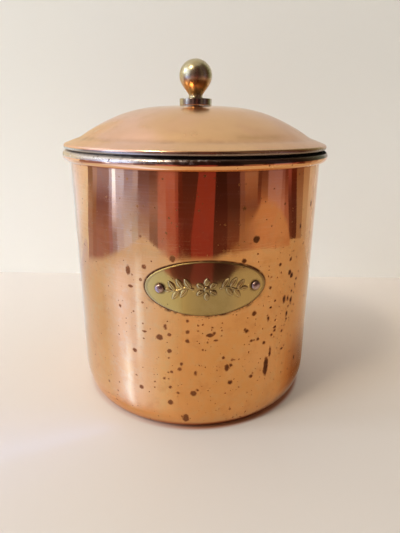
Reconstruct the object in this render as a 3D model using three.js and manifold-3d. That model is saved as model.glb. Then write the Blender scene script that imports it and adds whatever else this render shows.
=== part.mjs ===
// A round copper tea caddy with a domed lift-off lid, as separate pieces.
// Millimetres, +Z up. The origin is the centre of the base, where the caddy stands.
// The name plate faces -Y.
import * as THREE from 'three';
import { mergeVertices } from 'three/addons/utils/BufferGeometryUtils.js';
import Module from 'manifold-3d';

// ---- driving dimensions ----
const GAP = 0.3;              // clearance kept between pieces that touch
const AROUND = 64;            // facets around the large round pieces
const AROUND_SMALL = 24;      // facets around the knob and its fittings
const TINY = 1e-9;            // a radius below this is on the axis

const SHEET = 0.8;            // copper sheet thickness
const WALL_R = 70;            // outer radius of the canister wall
const RIM_Z = 136;            // height of the wall where the rolled rim starts
const CORNER_IN = 7;          // how far the bottom corner turns inward
const CORNER_UP = 17;         // how far up the wall the bottom corner reaches

const BEAD_R = 2.85;          // outer radius of the rolled rim
const BEAD_CENTRE_R = 71;     // distance of the rolled rim's centre from the axis
const BEAD_CENTRE_Z = RIM_Z + 2.5;
const BEAD_END = -104;        // angle where the rolled edge stops, just short of the wall
const WIRE_R = 1.2;           // radius of the wire inside the rolled rim
const WIRE_CENTRE_R = 71.5;

const CROWN_Z = RIM_Z + 28;   // top of the lid
const CROWN_R = 9;            // flat middle of the lid, under the knob
const SHOULDER = [58.7, RIM_Z + 14.9];    // where the dome turns out into the brim
const CREASE = [66.6, RIM_Z + 10.6];      // soft crease between shoulder and brim
const LID_CURL_R = 1.5;       // outer radius of the lid's curled edge
const LID_CURL_CENTRE = [71.4, RIM_Z + 7.15];
const LID_CURL_FROM = 63;     // angle where the brim runs into the curl
const LID_CURL_TO = -200;     // angle where the curled edge stops

const COLLAR_R = 68.4;        // outer radius of the ring that seats in the mouth
const COLLAR_TOP = RIM_Z + 8.7;
const COLLAR_BOTTOM = RIM_Z - 8;

const PLATE_HALF_LENGTH = 29.3;
const PLATE_HALF_HEIGHT = 13.4;
const PLATE_THICKNESS = 1;
const PLATE_Z = RIM_Z - 54.5; // height of the plate's centre
const RIVETS = [              // distance along the wall from the plate's centre
  { name: 'plate_rivet_left', along: -21.8 },
  { name: 'plate_rivet_right', along: 23.7 },
];
const RIVET_SHANK_R = 1;
const RIVET_HEAD_R = 2.25;
const RIVET_HEAD_H = 1.2;
const RIVET_TAIL_R = 1.7;
const RIVET_TAIL_H = 0.7;

const DISC_R = 9;             // small disc between the lid and the knob
const DISC_TOP = RIM_Z + 31.8;
const KNOB_FOOT_R = 4;        // small collar at the bottom of the knob
const KNOB_NECK = [3.7, RIM_Z + 33];
const KNOB_WIDEST = [9, RIM_Z + 43.6];
const KNOB_TOP = RIM_Z + 52.2;
const SCREW_R = 2;            // M4 screw that holds the knob
const SCREW_TOP = RIM_Z + 42;
const SCREW_HEAD_R = 4;
const SCREW_HEAD_H = 2.6;
const SLOT_WIDTH = 1;
const SLOT_DEPTH = 1.3;
const WASHER_R = 6.5;
const WASHER_THICKNESS = 1;

// ---- solids ----
const wasm = await Module();
wasm.setup();

// Points of an elliptical arc in the (radius, height) plane, angles in degrees.
function arc(centreR, centreZ, radiusR, radiusZ, from, to, steps) {
  const points = [];
  for (let i = 0; i <= steps; i += 1) {
    const angle = THREE.MathUtils.degToRad(from + ((to - from) * i) / steps);
    const r = centreR + radiusR * Math.cos(angle);
    points.push([r > TINY ? r : 0, centreZ + radiusZ * Math.sin(angle)]);
  }
  return points;
}

// Points of a cubic curve in the (radius, height) plane.
function cubic(start, control1, control2, end, steps) {
  const vectors = [start, control1, control2, end].map(([r, z]) => new THREE.Vector2(r, z));
  return new THREE.CubicBezierCurve(...vectors).getPoints(steps).map((p) => [p.x, p.y]);
}

// A solid of revolution about +Z from (radius, height) points, outer side listed upward.
function turned(points, facets) {
  const geometry = new THREE.LatheGeometry(points.map(([r, z]) => new THREE.Vector2(r, z)), facets);
  return geometry.rotateX(Math.PI / 2);
}

function toManifold(geometry) {
  const bare = geometry.clone();
  bare.deleteAttribute('normal');
  bare.deleteAttribute('uv');
  const welded = mergeVertices(bare);
  const corners = welded.index.array;
  const kept = [];
  for (let i = 0; i < corners.length; i += 3) {
    const [a, b, c] = [corners[i], corners[i + 1], corners[i + 2]];
    if (a !== b && b !== c && c !== a) kept.push(a, b, c);
  }
  const vertProperties = new Float32Array(welded.attributes.position.array);
  return new wasm.Manifold(new wasm.Mesh({ numProp: 3, vertProperties, triVerts: new Uint32Array(kept) }));
}

function toGeometry(solid) {
  const mesh = solid.getMesh();
  const geometry = new THREE.BufferGeometry();
  geometry.setAttribute('position', new THREE.BufferAttribute(mesh.vertProperties, 3));
  geometry.setIndex(new THREE.BufferAttribute(mesh.triVerts, 1));
  return geometry;
}

// Cuts every tool from a geometry.
function cut(geometry, ...tools) {
  const solid = tools.reduce((left, tool) => left.subtract(toManifold(tool)), toManifold(geometry));
  return toGeometry(solid);
}

// Turns a piece made along +Z so that it points out of the wall, at a distance along the wall.
function pointOutOfWall(geometry, along) {
  const turn = along / WALL_R;
  return geometry.rotateX(Math.PI / 2).rotateZ(turn).translate(0, 0, PLATE_Z);
}

function rivetHoles() {
  const length = 12;
  return RIVETS.map(({ along }) => {
    const hole = new THREE.CylinderGeometry(RIVET_SHANK_R + GAP, RIVET_SHANK_R + GAP, length, 12);
    return pointOutOfWall(hole.rotateX(Math.PI / 2).translate(0, 0, WALL_R), along);
  });
}

// ---- canister ----
function canisterBody() {
  const wallInner = WALL_R - SHEET;
  const cornerR = WALL_R - CORNER_IN;
  const rollTop = BEAD_CENTRE_R - wallInner;
  const points = [
    [0, 0],
    ...arc(cornerR, CORNER_UP, CORNER_IN, CORNER_UP, -90, 0, 6),
    ...arc(BEAD_CENTRE_R, BEAD_CENTRE_Z, BEAD_CENTRE_R - WALL_R, BEAD_R - SHEET, 180, 90, 3),
    ...arc(BEAD_CENTRE_R, BEAD_CENTRE_Z, BEAD_R - SHEET, BEAD_R - SHEET, 60, BEAD_END, 5),
    ...arc(BEAD_CENTRE_R, BEAD_CENTRE_Z, BEAD_R, BEAD_R, BEAD_END, 90, 8),
    ...arc(BEAD_CENTRE_R, BEAD_CENTRE_Z, rollTop, BEAD_R, 120, 180, 2),
    ...arc(cornerR, CORNER_UP, CORNER_IN - SHEET, CORNER_UP - SHEET, 0, -90, 5),
    [0, SHEET],
  ];
  return cut(turned(points, AROUND), ...rivetHoles());
}

function rimWire() {
  return turned(arc(WIRE_CENTRE_R, BEAD_CENTRE_Z, WIRE_R, WIRE_R, 0, 360, 8), AROUND);
}

// An oval cut out of a thin tube that lies on the wall.
function namePlate() {
  const inner = WALL_R + GAP;
  const outer = inner + PLATE_THICKNESS;
  const low = PLATE_Z - PLATE_HALF_HEIGHT - 1;
  const high = PLATE_Z + PLATE_HALF_HEIGHT + 1;
  const tube = turned([[inner, low], [outer, low], [outer, high], [inner, high], [inner, low]], 240);
  const oval = new THREE.Shape();
  oval.absellipse(0, 0, PLATE_HALF_LENGTH, PLATE_HALF_HEIGHT, 0, Math.PI * 2, false, 0);
  const prism = new THREE.ExtrudeGeometry(oval, { depth: outer + 5, bevelEnabled: false, curveSegments: 28 });
  prism.rotateX(Math.PI / 2).translate(0, 0, PLATE_Z);
  const blank = toManifold(tube).intersect(toManifold(prism));
  return cut(toGeometry(blank), ...rivetHoles());
}

function plateRivet(along) {
  const headSeat = WALL_R + 2 * GAP + PLATE_THICKNESS;
  const tailSeat = WALL_R - SHEET - GAP;
  const points = [
    [0, tailSeat - RIVET_TAIL_H],
    [RIVET_TAIL_R - 0.4, tailSeat - RIVET_TAIL_H],
    [RIVET_TAIL_R, tailSeat],
    [RIVET_SHANK_R, tailSeat],
    [RIVET_SHANK_R, headSeat],
    ...arc(0, headSeat, RIVET_HEAD_R, RIVET_HEAD_H, 0, 90, 4),
  ];
  return pointOutOfWall(turned(points, 16), along);
}

// ---- lid ----
function lidDome() {
  const [shoulderR, shoulderZ] = SHOULDER;
  const [creaseR, creaseZ] = CREASE;
  const [curlR, curlZ] = LID_CURL_CENTRE;
  const hole = SCREW_R + GAP;
  const curlInner = LID_CURL_R - SHEET;
  const crown = cubic(
    [CROWN_R, CROWN_Z], [31, CROWN_Z], [shoulderR - 15.7, shoulderZ + 9.1], SHOULDER, 7,
  );
  const shoulder = cubic(
    SHOULDER, [shoulderR + 3, shoulderZ - 1.7], [creaseR - 3.3, creaseZ + 0.8], CREASE, 3,
  );
  const top = [[hole, CROWN_Z], ...crown, ...shoulder.slice(1)];
  // The underside follows the top at the sheet's thickness.
  const under = top.map(([r, z], i) => {
    const [r0, z0] = top[Math.max(i - 1, 0)];
    const [r1, z1] = top[Math.min(i + 1, top.length - 1)];
    const length = Math.hypot(r1 - r0, z1 - z0);
    const inward = i === 0 ? 0 : (SHEET * (z1 - z0)) / length;
    return [r + inward, z - (SHEET * (r1 - r0)) / length];
  });
  const points = [
    ...under,
    ...arc(curlR, curlZ, curlInner, curlInner, LID_CURL_FROM, LID_CURL_TO, 5),
    ...arc(curlR, curlZ, LID_CURL_R, LID_CURL_R, LID_CURL_TO, LID_CURL_FROM, 7),
    ...top.reverse(),
    under[0],
  ];
  return turned(points, AROUND);
}

function lidCollar() {
  const inner = COLLAR_R - SHEET;
  const corners = [
    [inner, COLLAR_BOTTOM],
    [COLLAR_R, COLLAR_BOTTOM],
    [COLLAR_R, COLLAR_TOP],
    [inner, COLLAR_TOP],
    [inner, COLLAR_BOTTOM],
  ];
  return turned(corners, AROUND);
}

function knobBaseDisc() {
  const low = CROWN_Z + GAP;
  const hole = SCREW_R + GAP;
  const edge = 0.5;
  const points = [
    [hole, low],
    [DISC_R, low],
    [DISC_R, DISC_TOP - edge],
    [DISC_R - edge, DISC_TOP],
    [hole, DISC_TOP],
    [hole, low],
  ];
  return turned(points, AROUND_SMALL * 2);
}

function knob() {
  const foot = DISC_TOP + GAP;
  const hole = SCREW_R + GAP;
  const [neckR, neckZ] = KNOB_NECK;
  const [wideR, wideZ] = KNOB_WIDEST;
  const points = [
    [hole, foot],
    [KNOB_FOOT_R, foot],
    [KNOB_FOOT_R, foot + 0.5],
    ...cubic(KNOB_NECK, [neckR + 0.3, neckZ + 2.4], [wideR, wideZ - 5], KNOB_WIDEST, 8),
    ...arc(0, wideZ, wideR, KNOB_TOP - wideZ, 0, 90, 6).slice(1),
    [0, SCREW_TOP + GAP],
    [hole, SCREW_TOP + GAP],
    [hole, foot],
  ];
  return turned(points, AROUND_SMALL);
}

function knobScrew() {
  const seat = CROWN_Z - SHEET - 2 * GAP - WASHER_THICKNESS;
  const bottom = seat - SCREW_HEAD_H;
  const points = [
    [0, bottom],
    [SCREW_HEAD_R - 0.8, bottom],
    [SCREW_HEAD_R, bottom + 0.8],
    [SCREW_HEAD_R, seat],
    [SCREW_R, seat],
    [SCREW_R, SCREW_TOP],
    [0, SCREW_TOP],
  ];
  const slot = new THREE.BoxGeometry(3 * SCREW_HEAD_R, SLOT_WIDTH, 2 * SLOT_DEPTH);
  return cut(turned(points, AROUND_SMALL), slot.translate(0, 0, bottom));
}

function screwWasher() {
  const high = CROWN_Z - SHEET - GAP;
  const low = high - WASHER_THICKNESS;
  const hole = SCREW_R + GAP;
  return turned([[hole, low], [WASHER_R, low], [WASHER_R, high], [hole, high], [hole, low]], AROUND_SMALL);
}

// ---- materials ----
function metal(color, roughness) {
  return new THREE.MeshStandardMaterial({ color, roughness, metalness: 1 });
}

const COPPER = 0xd98a5c;
const TIN = 0xa9a7a5;
const BRASS = 0xb39a5a;
const STEEL = 0x8a8a8c;

// ---- assembly ----
function addPiece(group, name, geometry, material) {
  const mesh = new THREE.Mesh(geometry, material);
  mesh.name = name;
  group.add(mesh);
}

const canister = new THREE.Group();
addPiece(canister, 'canister_body', canisterBody(), metal(COPPER, 0.15));
addPiece(canister, 'rim_wire', rimWire(), metal(STEEL, 0.5));
addPiece(canister, 'name_plate', namePlate(), metal(BRASS, 0.35));
for (const { name, along } of RIVETS) {
  addPiece(canister, name, plateRivet(along), metal(COPPER, 0.3));
}

const lid = new THREE.Group();
addPiece(lid, 'lid_dome', lidDome(), metal(COPPER, 0.25));
addPiece(lid, 'lid_collar', lidCollar(), metal(TIN, 0.4));
addPiece(lid, 'knob_base_disc', knobBaseDisc(), metal(BRASS, 0.3));
addPiece(lid, 'knob', knob(), metal(BRASS, 0.15));
addPiece(lid, 'knob_screw', knobScrew(), metal(BRASS, 0.35));
addPiece(lid, 'screw_washer', screwWasher(), metal(STEEL, 0.4));

const caddy = new THREE.Group();
caddy.add(canister, lid);

export default caddy;
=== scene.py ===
"""Looks for a round copper tea caddy with a domed lift-off lid.

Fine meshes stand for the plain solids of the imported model, each with its own procedural metal.
Lengths of the caddy and in materials are in millimetres here, and those of the stage in metres.
"""
import math

import bpy
import numpy as np
from mathutils import Matrix, Vector, noise


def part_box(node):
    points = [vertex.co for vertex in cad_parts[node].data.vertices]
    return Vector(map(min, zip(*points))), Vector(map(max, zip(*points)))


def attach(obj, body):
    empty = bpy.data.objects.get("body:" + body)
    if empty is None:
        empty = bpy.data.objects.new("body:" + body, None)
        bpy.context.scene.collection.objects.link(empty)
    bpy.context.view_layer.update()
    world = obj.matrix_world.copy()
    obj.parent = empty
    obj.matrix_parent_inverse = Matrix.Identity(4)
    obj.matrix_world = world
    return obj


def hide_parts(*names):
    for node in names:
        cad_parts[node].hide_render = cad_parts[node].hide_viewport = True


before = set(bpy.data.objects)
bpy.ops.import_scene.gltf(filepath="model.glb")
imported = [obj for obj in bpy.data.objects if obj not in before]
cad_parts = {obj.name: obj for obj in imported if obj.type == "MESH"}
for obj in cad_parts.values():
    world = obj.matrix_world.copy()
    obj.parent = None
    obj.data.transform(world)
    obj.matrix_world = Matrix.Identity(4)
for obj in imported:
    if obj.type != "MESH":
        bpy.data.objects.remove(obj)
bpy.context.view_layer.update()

MM = 0.001
AROUND = 256  # facets around the large round pieces
AROUND_KNOB = 96
AROUND_SCREW = 64
AROUND_RIVET = 48


# ---- places and sizes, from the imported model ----
def corners(node):
    low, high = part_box(node)
    return low / MM, high / MM


_, body_high = corners("canister_body")
collar_low, collar_high = corners("lid_collar")
dome_low, dome_high = corners("lid_dome")
knob_low, knob_high = corners("knob")
screw_low, screw_high = corners("knob_screw")
plate_low, plate_high = corners("name_plate")

SHEET = 0.8  # copper sheet thickness
BEAD_R = 2.85  # outer radius of the rolled rim
RIM_OUT = 3.85  # how far the rolled rim stands out from the wall
WALL_R = body_high.x - RIM_OUT
BEAD_CENTRE_R = body_high.x - BEAD_R
BEAD_CENTRE_Z = body_high.z - BEAD_R
BEAD = (BEAD_CENTRE_R, BEAD_CENTRE_Z)
BEAD_END = -104  # angle where the rolled edge stops
CORNER_IN = 6.2  # the rounded bottom corner, an ellipse
CORNER_UP = 17

CURL_R = 1.5
CURL_CENTRE_R = dome_high.x - CURL_R
CURL_CENTRE_Z = dome_low.z + CURL_R
CURL = (CURL_CENTRE_R, CURL_CENTRE_Z)
CURL_FROM = 63  # angles where the curled edge starts and stops
CURL_TO = -200
CROWN_Z = dome_high.z
CROWN_R = 9
SHOULDER = (58.7, CROWN_Z - 13.1)
CREASE = (66.6, CROWN_Z - 17.4)
HOLE_R = 2.3  # hole for the screw in the lid, the knob's disc and the washer
SHANK_R = 1.95

PLATE_Z = (plate_low.z + plate_high.z) / 2
PLATE_HALF_LENGTH = (plate_high.x - plate_low.x) / 2
PLATE_HALF_HEIGHT = (plate_high.z - plate_low.z) / 2
PLATE_FRONT_R = -plate_low.y
PLATE_BACK_R = WALL_R + 0.08
PLATE_CROWN = 0.35  # how far the plate's face falls back at its top and bottom
PLATE_LEAN = 0.045  # how much the plate leans back towards its top
PLATE_SINK = 0.3  # how far the plate's middle sits behind the front of its solid
RIVETS = {"left": -21.8, "right": 23.7}  # distance along the wall from the plate's middle


# ---- outlines ----
def arc(centre_r, centre_z, radius_r, radius_z, start, end, steps):
    """Points of an elliptical arc in the (radius, height) plane, angles in degrees."""
    points = []
    for i in range(steps + 1):
        angle = math.radians(start + (end - start) * i / steps)
        points.append((centre_r + radius_r * math.cos(angle), centre_z + radius_z * math.sin(angle)))
    return points


def between(start, end, t):
    """A point or a colour part of the way from one to another."""
    return tuple(a + (b - a) * t for a, b in zip(start, end))


def line(start, end, steps):
    return [between(start, end, i / steps) for i in range(steps + 1)]


def cubic(p0, p1, p2, p3, steps):
    points = []
    for i in range(steps + 1):
        t = i / steps
        weights = ((1 - t) ** 3, 3 * t * (1 - t) ** 2, 3 * t * t * (1 - t), t ** 3)
        points.append(tuple(sum(w * p[k] for w, p in zip(weights, (p0, p1, p2, p3))) for k in (0, 1)))
    return points


def joined(*runs):
    """One outline from several runs, with no point twice."""
    points = []
    for run in runs:
        for r, z in run:
            if not points or math.hypot(r - points[-1][0], z - points[-1][1]) > 1e-4:
                points.append((max(r, 0), z))
    return points


def offset_inward(points, distance):
    """The outline moved down and inward by a distance, for the underside of a sheet."""
    moved = []
    for i, (r, z) in enumerate(points):
        r0, z0 = points[max(i - 1, 0)]
        r1, z1 = points[min(i + 1, len(points) - 1)]
        length = math.hypot(r1 - r0, z1 - z0)
        moved.append((r + distance * (z1 - z0) / length, z - distance * (r1 - r0) / length))
    return moved


def round_z(angle, r, z):
    """The point at an angle, a radius and a height."""
    return Vector((math.cos(angle) * r, math.sin(angle) * r, z))


# ---- meshes ----
def linked(name, data):
    """A new object in the scene."""
    thing = bpy.data.objects.new(name, data)
    bpy.context.scene.collection.objects.link(thing)
    return thing


def mesh_object(name, vertices, faces, material):
    mesh = bpy.data.meshes.new(name)
    mesh.from_pydata(vertices, [], faces)
    mesh.materials.append(material)
    return linked(name, mesh)


def new_piece(name, vertices, faces, material):
    """A smooth piece of the caddy, from points in millimetres."""
    piece = mesh_object(name, [tuple(c * MM for c in v) for v in vertices], faces, material)
    piece.data.validate()
    piece.data.shade_smooth()
    return piece


def turned(name, points, around, material, closed=False, shift=None, masks=None):
    """A solid of revolution about +Z, its outer side listed upward.

    shift(r, z, angle) gives a small change of radius and height. masks maps an attribute's name to a
    function of the outline's index that says how much of it a point has.
    """
    vertices, rows, owners = [], [], []
    for index, (r, z) in enumerate(points):
        count = around if r > 1e-6 else 1
        rows.append([len(vertices) + i % count for i in range(around)])
        owners += [index] * count
        for i in range(count):
            angle = 2 * math.pi * i / around
            dr, dz = shift(r, z, angle) if shift else (0, 0)
            vertices.append(round_z(angle, r + dr, z + dz))
    if closed:
        rows.append(rows[0])
    faces = []
    for low, high in zip(rows, rows[1:]):
        for i in range(around):
            j = (i + 1) % around
            corner = [low[i], low[j], high[j], high[i]]
            face = [v for k, v in enumerate(corner) if v != corner[k - 1]]
            if len(face) > 2:
                faces.append(face)
    piece = new_piece(name, vertices, faces, material)
    for mask, weight in (masks or {}).items():
        add_mask(piece, mask, [weight(k) for k in owners])
    return piece


def add_mask(piece, name, values):
    """A number for each vertex, which the material reads."""
    piece.data.attributes.new(name, "FLOAT", "POINT").data.foreach_set("value", values)


def strip_faces(columns, rows, first=0):
    """Faces between columns of vertices, each column with the same number of rows."""
    corners_of = [first + c * rows + r for c in range(columns - 1) for r in range(rows - 1)]
    return [(a, a + rows, a + rows + 1, a + 1) for a in corners_of]


def ready(piece, body, slot, *nodes):
    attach(piece, body)
    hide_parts(*nodes)


def smooth(low, high, value):
    t = min(max((value - low) / (high - low), 0), 1)
    return t * t * (3 - 2 * t)


# ---- node graphs ----
def opaque(colour):
    return colour if isinstance(colour, bpy.types.NodeSocket) else (*colour, 1)


class Graph:
    """The nodes of a material or a world, with short ways to add and link them."""

    def __init__(self, name, owners=bpy.data.materials, output="ShaderNodeOutputMaterial"):
        self.owner = owners.new(name)
        self.owner.use_nodes = True
        self.tree = self.owner.node_tree
        self.tree.nodes.clear()
        self.output = self.node(output)
        self.place = self.node("ShaderNodeTexCoord").outputs
        self.mm = self.vector("MULTIPLY", self.place["Object"], (1 / MM,) * 3)

    def put(self, socket, value):
        if isinstance(value, bpy.types.NodeSocket):
            self.tree.links.new(value, socket)
        elif value is not None:
            socket.default_value = value

    def node(self, kind, inputs=(), **settings):
        made = self.tree.nodes.new(kind)
        for key, value in settings.items():
            setattr(made, key, value)
        for key, value in dict(inputs).items():
            self.put(made.inputs[key], value)
        return made

    def math(self, operation, *values):
        return self.node("ShaderNodeMath", enumerate(values), operation=operation).outputs[0]

    def times(self, a, b):
        return self.math("MULTIPLY", a, b)

    def less(self, a, b):
        return self.math("SUBTRACT", a, b)

    def most(self, a, b):
        return self.math("MAXIMUM", a, b)

    def scaled(self, a, factor, added):
        return self.math("MULTIPLY_ADD", a, factor, added)

    def vector(self, operation, *values):
        made = self.node("ShaderNodeVectorMath", enumerate(values), operation=operation)
        return made.outputs["Value" if operation in ("LENGTH", "DISTANCE") else "Vector"]

    def split(self, vector):
        return self.node("ShaderNodeSeparateXYZ", {"Vector": vector}).outputs

    def join(self, x, y, z):
        return self.node("ShaderNodeCombineXYZ", {"X": x, "Y": y, "Z": z}).outputs[0]

    def noise(self, size, detail=3, at=None, roughness=0.5):
        """Noise from 0 to 1 whose features are about size millimetres."""
        inputs = {"Vector": at or self.mm, "Scale": 1 / size, "Detail": detail, "Roughness": roughness}
        return self.node("ShaderNodeTexNoise", inputs).outputs["Fac"]

    def step(self, value, low, high, to_low=0, to_high=1):
        """A soft step from one number to another as value goes from low to high."""
        inputs = {"Value": value, "From Min": low, "From Max": high, "To Min": to_low, "To Max": to_high}
        return self.node("ShaderNodeMapRange", inputs, interpolation_type="SMOOTHSTEP").outputs[0]

    def mix(self, factor, a, b):
        """A mix of two colours."""
        inputs = {"Factor": factor, "A": opaque(a), "B": opaque(b)}
        return self.node("ShaderNodeMix", inputs, data_type="RGBA").outputs["Result"]

    def layers(self, colour, *coats):
        """A colour with others laid over it in turn, each by its own factor."""
        for factor, over in coats:
            colour = self.mix(factor, colour, over)
        return colour

    def blend(self, factor, a, b):
        """A mix of two numbers."""
        inputs = {"Factor": factor, "A": a, "B": b}
        return self.node("ShaderNodeMix", inputs, data_type="FLOAT").outputs["Result"]

    def attribute(self, name):
        return self.node("ShaderNodeAttribute", attribute_name=name).outputs["Fac"]

    def reach(self):
        """Distance from the upright axis, in millimetres."""
        x, y, _ = self.split(self.mm)
        return self.vector("LENGTH", self.join(x, y, 0))

    def along_and_height(self):
        """Distance round the wall from the middle of the plate, and height, both in millimetres."""
        x, y, z = self.split(self.mm)
        angle = self.math("ARCTAN2", x, self.times(y, -1))
        return self.times(angle, WALL_R), z

    def bump(self, height, strength, distance, normal=None):
        inputs = {"Height": height, "Strength": strength, "Distance": distance * MM, "Normal": normal}
        return self.node("ShaderNodeBump", inputs).outputs[0]

    def principled(self, colour, roughness, metallic=1, normal=None,
                   coat=0, coat_roughness=0.1, specular=0.2):
        inputs = {
            "Base Color": opaque(colour),
            "Roughness": roughness,
            "Metallic": metallic,
            "Normal": normal,
            "Coat Weight": coat,
            "Coat Roughness": coat_roughness,
            "Specular IOR Level": specular,
        }
        return self.node("ShaderNodeBsdfPrincipled", inputs)

    def finish(self, *args, **settings):
        """The material, with one Principled shader."""
        return self.surface(self.principled(*args, **settings))

    def cover(self, factor, under, over):
        """The material, with one shader over another by a factor."""
        inputs = {0: factor, 1: under.outputs[0], 2: over.outputs[0]}
        return self.surface(self.node("ShaderNodeMixShader", inputs))

    def surface(self, shader):
        self.tree.links.new(shader.outputs[0], self.output.inputs["Surface"])
        return self.owner


def round_spots(g, size, biggest, share, seed, ragged=0.25):
    """Scattered spots from 0 to 1: one at most in each cell of a given size."""
    shift = g.vector("ADD", g.mm, (seed, seed * 1.7, seed * 0.3))
    rough = g.node("ShaderNodeTexNoise", {"Vector": shift, "Scale": 0.9, "Detail": 2}).outputs["Color"]
    rough = g.vector("SUBTRACT", rough, (0.5, 0.5, 0.5))
    at = g.vector("ADD", shift, g.vector("MULTIPLY", rough, (ragged * 4,) * 3))
    cells = g.node("ShaderNodeTexVoronoi", {"Vector": at, "Scale": 1 / size, "Randomness": 1})
    red, green, _ = g.split(cells.outputs["Color"])
    there = g.math("LESS_THAN", green, share)
    radius = g.times(g.math("POWER", red, 2), biggest / size)
    edge = g.less(radius, cells.outputs["Distance"])
    return g.times(g.step(edge, -0.02, 0.03), there)


COPPER = (0.8, 0.385, 0.135)
TIN = (0.6, 0.57, 0.53)
RIM_TIN = (0.75, 0.69, 0.66)
BRASS = (0.58, 0.5, 0.32)
SPOT = (0.19, 0.07, 0.026)
CREVICE_SHADE = (0.006, 0.003, 0.002)  # painted shade where the lid sits on the rim

# The larger spots on the wall, by how much taller than wide they are: distance along the wall from the
# plate's middle, height, radius.
SPOTS = {
    1: [
        (-18, 18, 1.2), (-6, 24, 1.4), (-37, 45, 1), (-34, 24, 1), (-18, 48, 0.9), (13, 29, 1.1),
        (25, 30, 0.8), (9, 44, 0.7), (24, 104, 1.6), (18, 94, 0.9), (17, 119, 0.7), (48, 90, 0.8),
        (48, 83, 1.1), (50, 81, 1.2), (40, 89, 0.7), (34, 78, 0.7), (-30, 91, 0.9), (-16, 96, 1.2),
        (55, 78, 0.6), (54, 75, 0.5), (51, 72, 0.6), (49, 64, 0.5), (48, 57, 0.5), (38, 70, 0.4),
        (25, 66, 1.1), (39, 59, 0.5), (39, 53, 0.6), (33.8, 30.6, 1.45), (45, 51, 0.6), (37, 51, 0.6),
        (24, 51, 0.6), (28, 51, 0.7), (32, 48, 0.7), (4, 58, 0.6), (13, 39, 0.7), (-4, 26, 0.5),
        (-23, 55, 1.4), (-18, 57, 0.7), (-9, 59, 0.7), (-9, 65, 0.5), (-9, 54, 0.7), (-12, 41, 0.6),
        (-13, 38, 0.7), (-17, 36, 0.6), (-21, 32, 0.5), (-18, 27, 0.6), (-14, 24, 0.5), (-45, 68, 0.6),
        (21, 57, 0.8), (20, 58, 0.5),
    ],
    1.7: [(-10, 8, 1.4), (11, 38, 1), (45, 69, 1.1), (48, 69, 0.7), (51, 67, 0.9), (48, 60, 0.7),
          (34, 61, 0.6), (-39, 88, 1.1), (67, 116, 0.8), (55, 106, 0.6), (-20, 61, 0.6), (-5, 36, 0.5),
          (61, 28, 0.8)],
    3.4: [(34.2, 33.5, 1.4), (36.5, 41, 0.6)],
    0.55: [(39, 55, 1.1), (2, 57, 1.7), (35, 67, 0.8), (5, 54, 0.9), (46, 40, 1), (-31, 57, 0.9),
           (-38, 80, 1.2)],
}


def placed_spots(g, along, height):
    """Depth inside the nearest placed spot, in millimetres, with ragged edges."""
    ragged = g.less(g.noise(1.4, 3), 0.5)
    nearest = None
    for stretch, spots in SPOTS.items():
        at = g.join(along, g.math("DIVIDE", height, stretch), 0)
        for spot_along, spot_height, radius in spots:
            away = g.vector("DISTANCE", at, (spot_along, spot_height / stretch, 0))
            away = g.less(away, radius)
            nearest = away if nearest is None else g.math("MINIMUM", nearest, away)
    return g.scaled(ragged, 1.3, g.times(nearest, -1))


def around_plate(g, along, height):
    """Distance outside the plate's edge, in millimetres."""
    dx = g.math("DIVIDE", along, PLATE_HALF_LENGTH)
    dz = g.math("DIVIDE", g.less(height, PLATE_Z), PLATE_HALF_HEIGHT)
    reach = g.vector("LENGTH", g.join(dx, dz, 0))
    return g.times(g.less(reach, 1), PLATE_HALF_HEIGHT)


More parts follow.
